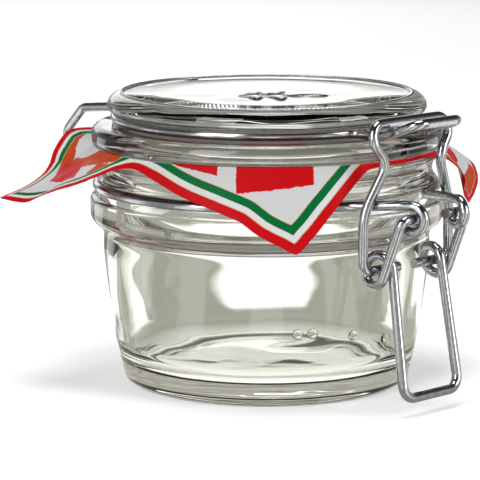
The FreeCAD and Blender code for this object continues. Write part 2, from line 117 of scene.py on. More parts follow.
def arc_points(a, middle, b):
    """Points on the arc from a through middle to b, without a."""
    (ax, az), (mx, mz), (bx, bz) = a, middle, b
    d = 2 * (ax * (mz - bz) + mx * (bz - az) + bx * (az - mz))
    if abs(d) < 1e-9:
        return [b]
    sa, sm, sb = ax * ax + az * az, mx * mx + mz * mz, bx * bx + bz * bz
    cx = (sa * (mz - bz) + sm * (bz - az) + sb * (az - mz)) / d
    cz = (sa * (bx - mx) + sm * (ax - bx) + sb * (mx - ax)) / d
    start, through, end = (np.arctan2(z - cz, x - cx) for x, z in (a, middle, b))
    turn = (end - start) % (2 * pi)
    if (through - start) % (2 * pi) > turn:
        turn -= 2 * pi
    radius = np.hypot(ax - cx, az - cz)
    angles = [start + turn * i / ARC_STEPS for i in range(1, ARC_STEPS + 1)]
    return [(cx + radius * np.cos(angle), cz + radius * np.sin(angle)) for angle in angles]


def spline_points(points):
    """Catmull-Rom points through a list, without its first one."""
    points = [np.array(p, float) for p in points]
    padded = [2 * points[0] - points[1]] + points + [2 * points[-1] - points[-2]]
    out = []
    for i in range(len(points) - 1):
        p0, p1, p2, p3 = padded[i:i + 4]
        for k in range(1, SPLINE_STEPS + 1):
            t = k / SPLINE_STEPS
            out.append(tuple(0.5 * (2 * p1 + (p2 - p0) * t + (2 * p0 - 5 * p1 + 4 * p2 - p3) * t * t
                                    + (3 * p1 - p0 - 3 * p2 + p3) * t ** 3)))
    return out


def profile(steps):
    """Turns ("start" | "line" | "arc" | "spline", points) steps into one list of (radius, height)."""
    points = []
    for kind, given in steps:
        if kind == "start":
            points.append(given[0])
        elif kind == "line":
            points += given
        elif kind == "arc":
            points += arc_points(points[-1], given[0], given[1])
        else:
            points += spline_points([points[-1]] + list(given))
    return points


def tightened(points):
    """Puts a point close to each side of every sharp corner, so that smooth shading stays crisp."""
    out = [points[0]]
    for before, here, after in zip(points, points[1:], points[2:]):
        a = np.array(before) - here
        b = np.array(after) - here
        la, lb = np.hypot(*a), np.hypot(*b)
        if a.dot(b) / (la * lb) > STRAIGHT:
            out.append(tuple(np.array(here) + a / la * min(CORNER_REACH, la / 3)))
            out.append(tuple(np.array(here) + b / lb * min(CORNER_REACH, lb / 3)))
        else:
            out.append(here)
    out.append(points[-1])
    return out


def lathe(name, points, wave=None):
    """Revolves a profile that starts and ends on the axis. wave(r, z, angle) moves the radius a little."""
    inner = points[1:-1]
    verts = [(0, 0, points[0][1] * MM)]
    for r, z in inner:
        for k in range(LATHE_SIDES):
            angle = 2 * pi * k / LATHE_SIDES
            radius = r + (wave(r, z, angle) if wave else 0.0)
            verts.append((radius * sin(angle) * MM, -radius * cos(angle) * MM, z * MM))
    verts.append((0, 0, points[-1][1] * MM))
    last = len(verts) - 1
    faces = []
    for k in range(LATHE_SIDES):
        n = (k + 1) % LATHE_SIDES
        faces.append((0, 1 + n, 1 + k))
        for i in range(len(inner) - 1):
            a, b = 1 + i * LATHE_SIDES, 1 + (i + 1) * LATHE_SIDES
            faces.append((a + k, a + n, b + n, b + k))
        end = 1 + (len(inner) - 1) * LATHE_SIDES
        faces.append((end + k, end + n, last))
    return new_mesh(name, verts, faces)


# ---------------------------------------------------------------- node helpers
def new_material(name):
    material = bpy.data.materials.new(name)
    material.use_nodes = True
    tree = material.node_tree
    shader = next(n for n in tree.nodes if n.type == "BSDF_PRINCIPLED")
    return material, tree, shader


def node(tree, kind, inputs=None, **settings):
    made = tree.nodes.new(kind)
    for key, value in settings.items():
        setattr(made, key, value)
    for key, value in (inputs or {}).items():
        if hasattr(value, "is_output"):
            tree.links.new(value, made.inputs[key])
        else:
            made.inputs[key].default_value = value
    return made


def noise(tree, scale, detail, stretch=(1, 1, 1)):
    """Noise on object coordinates, in cycles for each metre."""
    coords = node(tree, "ShaderNodeTexCoord")
    mapping = node(tree, "ShaderNodeMapping", {"Vector": coords.outputs["Object"], "Scale": stretch})
    return node(tree, "ShaderNodeTexNoise", {"Vector": mapping.outputs["Vector"], "Scale": scale,
                                             "Detail": detail, "Roughness": 0.55}).outputs["Fac"]


def bump(tree, shader, height, strength, distance):
    made = node(tree, "ShaderNodeBump", {"Height": height, "Strength": strength, "Distance": distance})
    tree.links.new(made.outputs["Normal"], shader.inputs["Normal"])


def ramp(tree, value, stops, interpolation="LINEAR"):
    made = node(tree, "ShaderNodeValToRGB", {"Fac": value})
    band = made.color_ramp
    band.interpolation = interpolation
    while len(band.elements) < len(stops):
        band.elements.new(0.5)
    for element, (place, colour) in zip(band.elements, stops):
        element.position = place
        element.color = (*colour, 1.0)
    return made.outputs["Color"]


def maths(tree, operation, *values):
    return node(tree, "ShaderNodeMath", dict(enumerate(values)), operation=operation).outputs[0]


def remap(tree, value, low=0.0, high=1.0, to_low=0.0, to_high=1.0, kind="LINEAR"):
    """Moves a value from low..high to to_low..to_high, and holds it there past the ends."""
    inputs = {"Value": value, "From Min": low, "From Max": high, "To Min": to_low, "To Max": to_high}
    return node(tree, "ShaderNodeMapRange", inputs, interpolation_type=kind).outputs["Result"]


def mixed(tree, factor, first, second):
    """Blend of two colours, each given as a socket or as plain numbers."""
    mix = node(tree, "ShaderNodeMix", {"Factor": factor}, data_type="RGBA")
    for socket, value in ((6, first), (7, second)):
        if hasattr(value, "is_output"):
            tree.links.new(value, mix.inputs[socket])
        else:
            mix.inputs[socket].default_value = (*value, 1)
    return mix.outputs[2]


# ---------------------------------------------------------------- materials
def glass_material():
    material, tree, shader = new_material("pressed_glass")
    shader.inputs["Base Color"].default_value = (0.90, 0.905, 0.88, 1)
    shader.inputs["Roughness"].default_value = 0.0
    shader.inputs["IOR"].default_value = 1.5
    shader.inputs["Transmission Weight"].default_value = 1.0
    swell = noise(tree, 55.0, 1.0, (1, 1, 0.45))
    bump(tree, shader, swell, 0.22, 0.002)
    return material


def steel_material():
    material, tree, shader = new_material("drawn_steel")
    cloud = noise(tree, 900.0, 4.0)
    colour = ramp(tree, cloud, [(0.3, (0.38, 0.385, 0.405)), (0.7, (0.50, 0.505, 0.525))])
    tree.links.new(colour, shader.inputs["Base Color"])
    shader.inputs["Metallic"].default_value = 1.0
    gloss = remap(tree, noise(tree, 2600.0, 3.0), 0.3, 0.7, 0.11, 0.20)
    tree.links.new(gloss, shader.inputs["Roughness"])
    bump(tree, shader, noise(tree, 4200.0, 2.0), 0.05, 0.0002)
    return material


def rubber_material():
    material, tree, shader = new_material("ring_rubber")
    colour = ramp(tree, noise(tree, 400.0, 4.0), [(0.3, (0.36, 0.06, 0.025)), (0.75, (0.50, 0.11, 0.04))])
    tree.links.new(colour, shader.inputs["Base Color"])
    shader.inputs["Roughness"].default_value = 0.5
    bump(tree, shader, noise(tree, 3000.0, 2.0), 0.1, 0.0002)
    return material


RED = (0.50, 0.003, 0.006)
GREEN = (0.001, 0.125, 0.03)
WHITE = (0.62, 0.62, 0.63)
CREAM = (0.56, 0.50, 0.34)
FIELD = (0.55, 0.55, 0.56)
ORANGE = (0.46, 0.055, 0.012)
RUST = (0.22, 0.045, 0.025)
STRIPES = ((0.0, RED), (2.15, CREAM), (2.35, WHITE), (3.6, GREEN), (5.4, CREAM), (5.65, FIELD))
INSET_SPAN = 20.0
PRINT_RAG, PRINT_SOFT = 0.4, 0.06  # how ragged and how soft a printed edge is, in millimetres


def film_material():
    """The stripes follow the "inset" attribute: the distance in millimetres from the film's cut edge.

    The plain printed panels follow one attribute each: how far inside the panel a point lies."""
    material, tree, shader = new_material("printed_film")
    inset = node(tree, "ShaderNodeAttribute", attribute_name="inset").outputs["Fac"]
    stops = [(at / INSET_SPAN, colour) for at, colour in STRIPES]
    colour = ramp(tree, maths(tree, "DIVIDE", inset, INSET_SPAN), stops, "CONSTANT")
    field = maths(tree, "GREATER_THAN", inset, STRIPES[-1][0])
    rag = remap(tree, noise(tree, 900.0, 2.0), to_low=-PRINT_RAG, to_high=PRINT_RAG)
    for name, panel, share_of_ink in (("ring", RUST, 0.85), ("orange", ORANGE, 1.0), ("red", RED, 1.0)):
        depth = node(tree, "ShaderNodeAttribute", attribute_name=name).outputs["Fac"]
        ragged = maths(tree, "ADD", depth, rag)
        inked = remap(tree, ragged, -PRINT_SOFT, PRINT_SOFT, to_high=share_of_ink)
        colour = mixed(tree, maths(tree, "MULTIPLY", inked, field), colour, panel)
    tree.links.new(colour, shader.inputs["Base Color"])
    shader.inputs["Roughness"].default_value = 0.45
    shader.inputs["Specular IOR Level"].default_value = 0.07
    bump(tree, shader, noise(tree, 260.0, 2.0), 0.25, 0.0006)
    return material


# ---------------------------------------------------------------- glass pieces
def jar_profile():
    groove_low = NECK_WIRE_Z - GROOVE
    groove_high = NECK_WIRE_Z + GROOVE
    taper = (BODY_TOP_R - BODY_FOOT_R) / (BODY_TOP_Z - HEEL_H)
    body_mid_z = BODY_TOP_Z * 0.42
    body_mid_r = BODY_FOOT_R + taper * (body_mid_z - HEEL_H) + 0.75
    inner_top_r = BODY_TOP_R - WALL
    inner_foot_r = BODY_FOOT_R - WALL + 1.0
    step_z = groove_low - 5.0
    return profile((
        ("start", ((0.0, PUSH_UP),)),
        ("line", ((BASE_R - 12.0, PUSH_UP), (BASE_R - 6.0, PUSH_UP))),
        ("arc", ((BASE_R - 3.6, PUSH_UP * 0.6), (BASE_R - 2.4, 0.0))),
        ("line", ((BASE_R, 0.0),)),
        ("arc", ((BODY_FOOT_R - 0.45, HEEL_H * 0.35), (BODY_FOOT_R, HEEL_H))),
        ("spline", ((body_mid_r, body_mid_z), (BODY_TOP_R - 0.1, BODY_TOP_Z - 6.0),
                    (BODY_TOP_R, BODY_TOP_Z))),
        ("arc", ((BODY_TOP_R + 0.9, BODY_TOP_Z + 1.7), (BEAD_R - 1.0, BEAD_LOW_Z - 0.6))),
        ("arc", ((BEAD_R - 0.3, BEAD_LOW_Z + 0.3), (BEAD_R, BEAD_LOW_Z + 1.6))),
        ("line", ((BEAD_R, BEAD_TOP_Z - 1.2),)),
        ("arc", ((BEAD_R - 0.35, BEAD_TOP_Z - 0.35), (BEAD_R - 1.2, BEAD_TOP_Z))),
        ("line", ((NECK_WIRE_R, groove_low),)),
        ("arc", ((NECK_WIRE_R - GROOVE, NECK_WIRE_Z), (NECK_WIRE_R, groove_high))),
        ("line", ((NECK_WIRE_R + 0.2, groove_high + 0.35),)),
        ("arc", ((NECK_R, (groove_high + RIM_Z) / 2), (RIM_R - 0.3, RIM_Z - 1.5))),
        ("arc", ((RIM_R, RIM_Z - 0.8), (RIM_R - 0.5, RIM_Z))),
        ("line", ((MOUTH_R + 1.0, RIM_Z),)),
        ("arc", ((MOUTH_R + 0.3, RIM_Z - 0.3), (MOUTH_R, RIM_Z - 1.0))),
        ("line", ((MOUTH_R, step_z + 5.0), (MOUTH_R, step_z))),
        ("arc", ((MOUTH_R + 0.45, step_z - 1.6), (inner_top_r, BODY_TOP_Z - 2.0))),
        ("line", ((inner_top_r * 0.6 + inner_foot_r * 0.4, BODY_TOP_Z * 0.6 + 2.0),
                  (inner_foot_r, FLOOR + 6.0))),
        ("arc", ((inner_foot_r - 1.9, FLOOR + 1.7), (inner_foot_r - 6.2, FLOOR))),
        ("line", ((inner_foot_r - 16.0, FLOOR + 0.3), (0.0, FLOOR + 0.6))),
    ))


def jar_wave(r, z, angle):
    """Pressed glass varies in thickness: the inner wall swells slowly round the jar."""
    if z > FLOOR + 4.0 and r < MOUTH_R + 1.5:
        return sum(height * sin(waves * angle + phase + z * twist) for height, waves, phase, twist in SWELLS)
    return 0.0


def lid_profile():
    groove_high = LID_WIRE_Z + GROOVE
    top = LID_Z + DISC_H
    lip_z = LID_Z + FLANGE_H
    lip_r = LID_WIRE_R + (GROOVE ** 2 - min(GROOVE, LID_WIRE_Z - lip_z) ** 2) ** 0.5
    ring_in = TOP_RING_R - TOP_RING_W / 2
    ring_out = TOP_RING_R + TOP_RING_W / 2
    ring_top = LID_TOP - KNURL_H
    return profile((
        ("start", ((0.0, LID_Z + HOLLOW_H),)),
        ("line", ((HOLLOW_R - 14.0, LID_Z + HOLLOW_H), (HOLLOW_R - 4.0, LID_Z + HOLLOW_H))),
        ("arc", ((HOLLOW_R - 1.0, LID_Z + HOLLOW_H - 1.4), (HOLLOW_R, LID_Z + HOLLOW_H - 4.4))),
        ("line", ((HOLLOW_R + 0.4, LID_Z), (FLANGE_R - 1.2, LID_Z))),
        ("arc", ((FLANGE_R - 0.35, LID_Z + 0.35), (FLANGE_R, LID_Z + 1.2))),
        ("line", ((FLANGE_R, lip_z - 2.2),)),
        ("arc", ((FLANGE_R - 0.7, lip_z - 0.8), (FLANGE_R - 2.3, lip_z - 0.25))),
        ("line", ((lip_r, lip_z),)),
        ("arc", ((LID_WIRE_R - GROOVE, LID_WIRE_Z), (LID_WIRE_R, groove_high))),
        ("line", ((DISC_R - 0.9, groove_high + 0.25),)),
        ("arc", ((DISC_R - 0.1, groove_high + 1.0), (DISC_R, groove_high + 1.9))),
        ("arc", ((DISC_R - DISC_EDGE * 0.28, top - DISC_EDGE * 0.32), (DISC_R - DISC_EDGE, top))),
        ("line", ((ring_out, top), (ring_out, ring_top), (ring_in, ring_top),
                  (ring_in, top - DISC_DIP), (ring_in - 12.0, top - DISC_DIP), (0.0, top - DISC_DIP))),
    ))


def make_glass(material):
    jar = lathe("jar_clear", tightened(jar_profile()), jar_wave)
    lid = lathe("lid_clear", tightened(lid_profile()))
    for piece, node_name, body in ((jar, "jar_glass", "jar"), (lid, "lid_glass", "lid")):
        piece.data.materials.append(material)
        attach(piece, body)
        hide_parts(node_name)


def glass_trim(piece, material, body):
    piece.data.materials.append(material)
    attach(piece, body)


def make_knurl(material):
    """Fine pressed teeth on top of the lid's ring."""
    across = ((-0.5, 0.0), (-0.42, 0.18), (-0.22, 0.32), (0.0, 0.36), (0.22, 0.32), (0.42, 0.18), (0.5, 0.0))
    sides = TEETH * TOOTH_STEPS
    base = LID_TOP - KNURL_H
    verts, faces = [], []
    for k in range(sides):
        azimuth = 360.0 * k / sides
        swell = 0.5 + 0.5 * cos(2 * pi * k / TOOTH_STEPS)
        for offset, height in across:
            rise = KNURL_CLEAR + 0.03 + height * (0.15 + 0.85 * swell)
            verts.append(polar(TOP_RING_R + offset * TOP_RING_W, azimuth, base + rise) * MM)
        for offset in (0.5, -0.5):
            verts.append(polar(TOP_RING_R + offset * TOP_RING_W, azimuth, base + KNURL_CLEAR) * MM)
    count = len(across) + 2
    for k in range(sides):
        n = (k + 1) % sides
        for i in range(count):
            j = (i + 1) % count
            faces.append((k * count + i, n * count + i, n * count + j, k * count + j))
    glass_trim(new_mesh("lid_knurl", verts, faces), material, "lid")


def leaf_verts(stalk, heading, length, width, top, base):
    """A puffed leaf: rows of points across it, from its stalk to its tip."""
    along = np.array((cos(radians(heading)), sin(radians(heading))))
    side = np.array((-along[1], along[0]))
    verts = []
    for i in range(LEAF_ROWS + 1):
        t = i / LEAF_ROWS
        half = width / 2 * (sin(pi * t ** 0.8) ** 0.75 if 0 < t < 1 else 0.0) + 0.02
        bend = 0.10 * length * sin(pi * t)
        for j in range(LEAF_COLS):
            q = 2 * j / (LEAF_COLS - 1) - 1
            x, y = np.array(stalk) + along * (length * t) + side * (half * q + bend)
            vein = 0.30 * max(0.0, 1.0 - abs(q) * 5.0)
            rise = RELIEF_H * (1 - q * q) ** 0.5 * sin(pi * t) ** 0.5
            verts.append(((x, y, top + rise * (1 - vein)), (x, y, base)))
    return verts


def make_relief(material):
    """A pressed sprig of leaves in the middle of the lid, on its flat top."""
    base = LID_TOP - TOP_RING_H - DISC_DIP + RELIEF_CLEAR
    rows, cols = LEAF_ROWS, LEAF_COLS
    verts, faces = [], []
    for stalk, heading, length, width in SPRIG:
        pairs = leaf_verts(stalk, heading, length, width, base + 0.03, base)
        first = len(verts)
        verts += [tuple(v * MM for v in up) for up, low in pairs]
        under = len(verts)
        verts += [tuple(v * MM for v in low) for up, low in pairs]
        for i in range(rows):
            for j in range(cols - 1):
                a = i * cols + j
                faces.append((first + a, first + a + cols, first + a + cols + 1, first + a + 1))
                faces.append((under + a, under + a + 1, under + a + cols + 1, under + a + cols))
            for j, turn in ((0, 1), (cols - 1, -1)):
                a, b = i * cols + j, (i + 1) * cols + j
                faces.append((first + a, under + a, under + b, first + b)[::turn])
        for i, turn in ((0, -1), (rows, 1)):
            for j in range(cols - 1):
                a, b = i * cols + j, i * cols + j + 1
                faces.append((first + a, under + a, under + b, first + b)[::turn])
    glass_trim(new_mesh("lid_relief", verts, faces), material, "lid")


def make_dots(material):
    """Small round pressed dots low on the jar's wall."""
    rings, sides = DOT_RINGS, DOT_SIDES
    taper = (BODY_TOP_R - BODY_FOOT_R) / (BODY_TOP_Z - HEEL_H)
    verts, faces = [], []
    for azimuth, z in DOTS:
        outward = polar(1.0, azimuth, 0.0)
        beside = polar(1.0, azimuth + 90.0, 0.0)
        wall = BODY_FOOT_R + taper * (z - HEEL_H) + BODY_SWELL
        middle = outward * wall + np.array((0, 0, z))
        first = len(verts)
        for depth in (0.0, 1.0):
            verts.append((middle + outward * (DOT_H * depth)) * MM)
            for i in range(1, rings + 1):
                t = i / rings
                for k in range(sides):
                    angle = 2 * pi * k / sides
                    lift = DOT_H * depth * (1 - t * t) ** 0.5 + 0.02 * depth
                    point = middle + (beside * cos(angle) + np.array((0, 0, sin(angle)))) * (DOT_R * t)
                    verts.append((point + outward * lift) * MM)
        size = 1 + rings * sides
        for depth, turn in ((0, 1), (1, -1)):
            start = first + depth * size
            for k in range(sides):
                n = (k + 1) % sides
                faces.append((start, start + 1 + k, start + 1 + n)[::-turn])
                for i in range(rings - 1):
                    a, b = start + 1 + i * sides, start + 1 + (i + 1) * sides
                    faces.append((a + k, b + k, b + n, a + n)[::-turn])
        a, b = first + 1 + (rings - 1) * sides, first + size + 1 + (rings - 1) * sides
        for k in range(sides):
            n = (k + 1) % sides
            faces.append((a + k, b + k, b + n, a + n)[::-1])
    glass_trim(new_mesh("jar_dots", verts, faces), material, "jar")


# ---------------------------------------------------------------- film kerchief
# the cut edge of each side, from one corner's tip to the next, as points of (azimuth, radius, height)
FILM_SIDES = (
    ((-126.4, 64.5, 45.4), (-121.3, 59.3, 45.0), (-118.2, 55.9, 46.9), (-113.9, 52.8, 48.8),
     (-109.1, 50.3, 50.3), (-104.7, 47.6, 52.2), (-98.0, 44.6, 54.6), (-91.0, 43.0, 55.4),
     (-84.0, 42.9, 53.9), (-72.3, 43.2, 50.5), (-62.0, 43.8, 48.0), (-53.0, 44.3, 45.5),
     (-47.5, 44.6, 42.4), (-41.1, 44.8, 39.9), (-36.4, 44.9, 38.0)),
    ((-36.4, 44.9, 38.0), (-32.2, 44.7, 41.1), (-25.9, 44.2, 46.5), (-18.7, 43.2, 52.0),
     (-12.0, 42.9, 56.3), (5.0, 42.7, 56.8), (20.0, 42.9, 56.7), (29.0, 44.6, 55.2),
     (35.3, 47.0, 52.0), (38.4, 48.0, 49.3), (41.3, 47.6, 45.7), (43.8, 49.0, 42.9)),
    ((43.8, 49.0, 42.9), (48.4, 50.8, 45.0), (52.7, 52.2, 47.8), (56.6, 51.9, 50.9),
     (63.0, 50.3, 52.4), (73.6, 48.6, 53.4), (88.0, 45.0, 55.0), (108.0, 44.4, 55.2),
     (124.0, 47.0, 53.2), (135.0, 49.8, 50.4), (143.6, 51.5, 47.2)),
    ((143.6, 51.5, 47.2), (152.0, 49.6, 50.4), (164.0, 46.4, 53.6), (178.0, 43.8, 56.0),
     (190.0, 44.6, 57.4), (199.0, 47.0, 58.4), (208.5, 50.2, 58.8), (212.0, 51.6, 57.4),
     (215.6, 53.0, 54.2), (218.8, 53.5, 51.2), (222.9, 55.1, 48.9),
     (228.0, 58.9, 46.9), (233.6, 64.5, 45.4)),
)
FILM_LIFT = ((-36.4, 0.0), (48.0, 0.7), (143.6, 0.5), (-126.4, 0.12))  # how level each corner leaves
LIFT_REACH = 45.0             # degrees over which a corner's lift fades
# the left corner sags most along its middle: its azimuth, the sag as a share of its length, and its reach
TROUGH_CORNER, TROUGH_SAG, TROUGH_REACH = -129.0, 0.09, 18.0
# stripes look narrower where a corner curls: (azimuth, reach in degrees, extra share)
FILM_CURL = ((-126.4, 44.0, 0.9),)
PLAIN_CORNER = 45.0          # on this corner the field starts straight after a narrow red edge
PLAIN_EDGE, PLAIN_REACH, PLAIN_FADE = 1.3, 20.0, 10.0
# printed fields are plain four-sided shapes, placed in degrees from a corner of the film
LEFT_CORNER, FRONT_CORNER, RIGHT_CORNER = (side[0][0] for side in FILM_SIDES[:3])


def slab(corner, start, end, at_start, at_end):
    """Slanted field between two azimuths, with its (top, bottom) drop in millimetres at each."""
    return ((corner + start, at_start[0]), (corner + start, at_start[1]),
            (corner + end, at_end[1]), (corner + end, at_end[0]))


def lozenge(corner, reach, drop, depth):
    """Diamond centred on a corner's line, at a drop in millimetres."""
    return (corner - reach, drop), (corner, drop + depth), (corner + reach, drop), (corner, drop - depth)


RED_PANELS = (slab(FRONT_CORNER, -18, 6, (-8, 6), (-8, 4)), slab(FRONT_CORNER, -40, -24, (-3, 0), (-3, 2)),
              lozenge(LEFT_CORNER, 12, 9, 5), slab(RIGHT_CORNER, -10, 0, (1, 6), (2, 6)))
ORANGE_PANELS = (slab(LEFT_CORNER, -12, 28, (6, 9), (-4, 1)), slab(LEFT_CORNER, 16, 28, (3, 7), (2, 5)),
                 slab(LEFT_CORNER, -38, -6, (3, 5), (8, 12)),
                 slab(RIGHT_CORNER, -10, 10, (10, 20), (10, 20)))
FILM = 0.10
FALL_R = RIM_R + 0.9
COLUMNS, ROWS = 720, 40
FLAT_RADII = (8.0, 20.0, 30.0, 32.0, 34.0, 35.0, 36.0, 37.0, 38.0, 39.0, 40.0, 41.0, 41.7)
RING_PRINT = (-7.3, -0.9)     # the rust-coloured ring lies between these drops, over the gasket


def offset_from(corner, azimuth):
    """Degrees between an azimuth and a corner, never negative."""
    return abs((azimuth - corner + 180.0) % 360.0 - 180.0)


def film_edge(azimuth):
    """Point of the hanging cut edge at an azimuth."""
    first = FILM_SIDES[0][0][0]
    azimuth = first + (azimuth - first) % 360.0
    side = next(s for s in FILM_SIDES if azimuth <= s[-1][0])
    i = next(k for k in range(len(side) - 1) if azimuth <= side[k + 1][0])
    before, after = np.array(side[max(i - 1, 0)]), np.array(side[min(i + 2, len(side) - 1)])
    here, there = np.array(side[i]), np.array(side[i + 1])
    t = (azimuth - here[0]) / (there[0] - here[0])
    point = 0.5 * (2 * here + (there - before) * t + (2 * before - 5 * here + 4 * there - after) * t * t
                   + (3 * here - before - 3 * there + after) * t ** 3)
    return polar(point[1], azimuth, point[2])


def film_lift(azimuth):
    """How level the film leaves the rim: 0 straight down, 1 outward."""
    lift = 0.0
    for corner, most in FILM_LIFT:
        lift += most * max(0.0, 1.0 - offset_from(corner, azimuth) / LIFT_REACH)
    return lift


def film_point(azimuth, share):
    """The hanging film: share 0 at the rim, 1 at its edge."""
    start = polar(FALL_R, azimuth, FILM_Z)
    end = film_edge(azimuth)
    outward = polar(1.0, azimuth, 0.0)
    length = np.linalg.norm(end - start)
    lift = film_lift(azimuth)
    leaving = start + outward * (lift * length * 0.45) - np.array((0, 0, (1.0 - lift) * length * 0.3))
    sag = TROUGH_SAG * length * max(0.0, 1.0 - offset_from(TROUGH_CORNER, azimuth) / TROUGH_REACH)
    arriving = end + (start - end) * 0.3 + outward * (lift * length * 0.12) - np.array((0, 0, sag))
    t = share
    return (start * (1 - t) ** 3 + leaving * 3 * t * (1 - t) ** 2
            + arriving * 3 * t * t * (1 - t) + end * t ** 3)


def drops(hanging):
    """Drop of each hanging vertex below the rim, measured along the film."""
    drop = np.zeros(hanging.shape[:2])
    drop[1:] = np.cumsum(np.linalg.norm(np.diff(hanging, axis=0), axis=2), axis=0)
    return drop


def film_insets(drop, azimuths):
    """Distance of each hanging vertex from the cut edge, measured on the unrolled film."""
    along = radians(1.0) * FALL_R * azimuths
    turn = radians(360.0) * FALL_R
    edge = np.stack([along, drop[-1]], axis=1)
    edge = np.concatenate([edge - (turn, 0), edge, edge + (turn, 0)])
    start, step = edge[:-1], np.diff(edge, axis=0)
    square = (step ** 2).sum(axis=1)
    insets = np.zeros(drop.shape)
    for row in range(drop.shape[0]):
        points = np.stack([along, drop[row]], axis=1)[:, None, :]
        t = np.clip(((points - start) * step).sum(axis=2) / square, 0, 1)
        gap = points - (start + t[..., None] * step)
        insets[row] = np.sqrt((gap ** 2).sum(axis=2)).min(axis=1)
    return insets


def panel_depths(panels, along, drop):
    """How far inside the nearest panel each point lies: negative outside."""
    scale = radians(1.0) * FALL_R
    points = np.stack([along * scale, drop], axis=-1)[..., None, :]
    best = np.full(drop.shape, -INSET_SPAN)
    for panel in panels:
        corners = np.array(panel) * (scale, 1.0)
        ends = np.roll(corners, -1, axis=0)
        step = ends - corners
        t = np.clip(((points - corners) * step).sum(axis=-1) / (step ** 2).sum(axis=1), 0, 1)
        near = np.sqrt(((points - corners - t[..., None] * step) ** 2).sum(axis=-1)).min(axis=-1)
        spans = (corners[:, 1] > points[..., 1]) != (ends[:, 1] > points[..., 1])
        rise = np.where(step[:, 1] == 0, 1e-9, step[:, 1])
        crossed = points[..., 0] < corners[:, 0] + (points[..., 1] - corners[:, 1]) * step[:, 0] / rise
        inside = (spans & crossed).sum(axis=-1) % 2 == 1
        best = np.maximum(best, np.where(inside, near, -near))
    return best


def film_prints(film, hanging, azimuths):
    """Puts the printed layers on the film as attributes of its points."""
    falling = drops(hanging)
    flat = np.broadcast_to((np.array(FLAT_RADII) - FALL_R)[:, None], (len(FLAT_RADII), COLUMNS))
    drop = np.concatenate([flat, falling])
    along = np.broadcast_to((azimuths + 180.0) % 360.0 - 180.0, drop.shape)
    curl = np.ones(COLUMNS)
    for corner, reach, extra in FILM_CURL:
        curl += extra * np.clip((1.0 - offset_from(corner, azimuths) / reach) * 2.0, 0.0, 1.0)
    plain = np.clip((PLAIN_REACH - offset_from(PLAIN_CORNER, azimuths)) / PLAIN_FADE, 0.0, 1.0)
    insets = film_insets(falling, azimuths)
    insets = np.where(insets > PLAIN_EDGE, insets + (STRIPES[-1][0] - PLAIN_EDGE) * plain, insets)
    layers = {"inset": np.concatenate([np.full(flat.shape, INSET_SPAN), insets * curl]),
              "red": panel_depths(RED_PANELS, along, drop),
              "orange": panel_depths(ORANGE_PANELS, along, drop),
              "ring": np.minimum(drop - RING_PRINT[0], RING_PRINT[1] - drop)}
    for name, values in layers.items():
        middle = INSET_SPAN if name == "inset" else -INSET_SPAN
        values = np.concatenate([[middle], values.ravel()])
        film.data.attributes.new(name, "FLOAT", "POINT").data.foreach_set("value", values)


def make_kerchief(material):
    azimuths = FILM_SIDES[0][0][0] + np.arange(COLUMNS) * 360.0 / COLUMNS
    flat = [[polar(r, a, FILM_Z) for a in azimuths] for r in FLAT_RADII]
    hanging = [[film_point(a, row / ROWS) for a in azimuths] for row in range(ROWS + 1)]
    rings = flat + hanging
    verts = [np.array((0, 0, FILM_Z)) * MM] + [p * MM for ring in rings for p in ring]
    faces = []
    for k in range(COLUMNS):
        n = (k + 1) % COLUMNS
        faces.append((0, 1 + k, 1 + n))
        for i in range(len(rings) - 1):
            a, b = 1 + i * COLUMNS, 1 + (i + 1) * COLUMNS
            faces.append((a + k, b + k, b + n, a + n))
    film = new_mesh("kerchief_film", verts, faces)
    film_prints(film, np.array(hanging), azimuths)
    film.data.materials.append(material)
    thicken = film.modifiers.new("thickness", "SOLIDIFY")
    thicken.thickness = FILM * MM
    thicken.offset = 0.0
    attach(film, "lid")
    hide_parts("kerchief")


# ---------------------------------------------------------------- studio
# painted light on the floor, seen only by glass and steel: a glowing grey field with glowing white cards
GREY_CARD = (0.30, 0.297, 0.255)
CARDS, CARD_GLOW = 8.0, 1.5
CARD_START, CARD_FULL = 0.058, 0.080  # metres from the object's middle over which a card fades in
FLOOR_HALF = 6.0
MIDDLE = (0, 0, 0.035)        # what the lights are aimed at
CAMERA_PLACE, CAMERA_AIM, LENS = (-0.4476, -0.4476, 0.1461), (-0.004572, 0.004572, 0.03354), 198.1


def aim(obj, target):
    obj.rotation_mode = "QUATERNION"
    obj.rotation_quaternion = (Vector(target) - obj.location).to_track_quat("-Z", "Y")


def area_light(name, place, size, power):
    data = bpy.data.lights.new(name, "AREA")
    data.shape = "RECTANGLE"
    data.size, data.size_y = size
    data.energy = power
    light = bpy.data.objects.new(name, data)
    light.location = place
    light.visible_transmission = False
    bpy.context.scene.collection.objects.link(light)
    aim(light, MIDDLE)


def seen_two_ways(tree, straight, around):
    """A colour for what the camera sees straight, and another for light that glass and steel gather."""
    seen = node(tree, "ShaderNodeLightPath").outputs["Is Camera Ray"]
    return mixed(tree, seen, around, straight)


def glowing_card_mask(tree, place, away):
    """Where the floor glows white as painted light: eight cards lying round the object, one in each eighth
    of a turn: 1 on a card, 0 between.
    """
    flat = node(tree, "ShaderNodeSeparateXYZ", {0: place}).outputs
    eighths = maths(tree, "MULTIPLY", maths(tree, "ARCTAN2", flat["Y"], flat["X"]), CARDS)
    across = remap(tree, maths(tree, "COSINE", eighths), 0.10, 0.45, kind="SMOOTHSTEP")
    along = remap(tree, away, CARD_START, CARD_FULL, kind="SMOOTHSTEP")
    return maths(tree, "MULTIPLY", across, along)


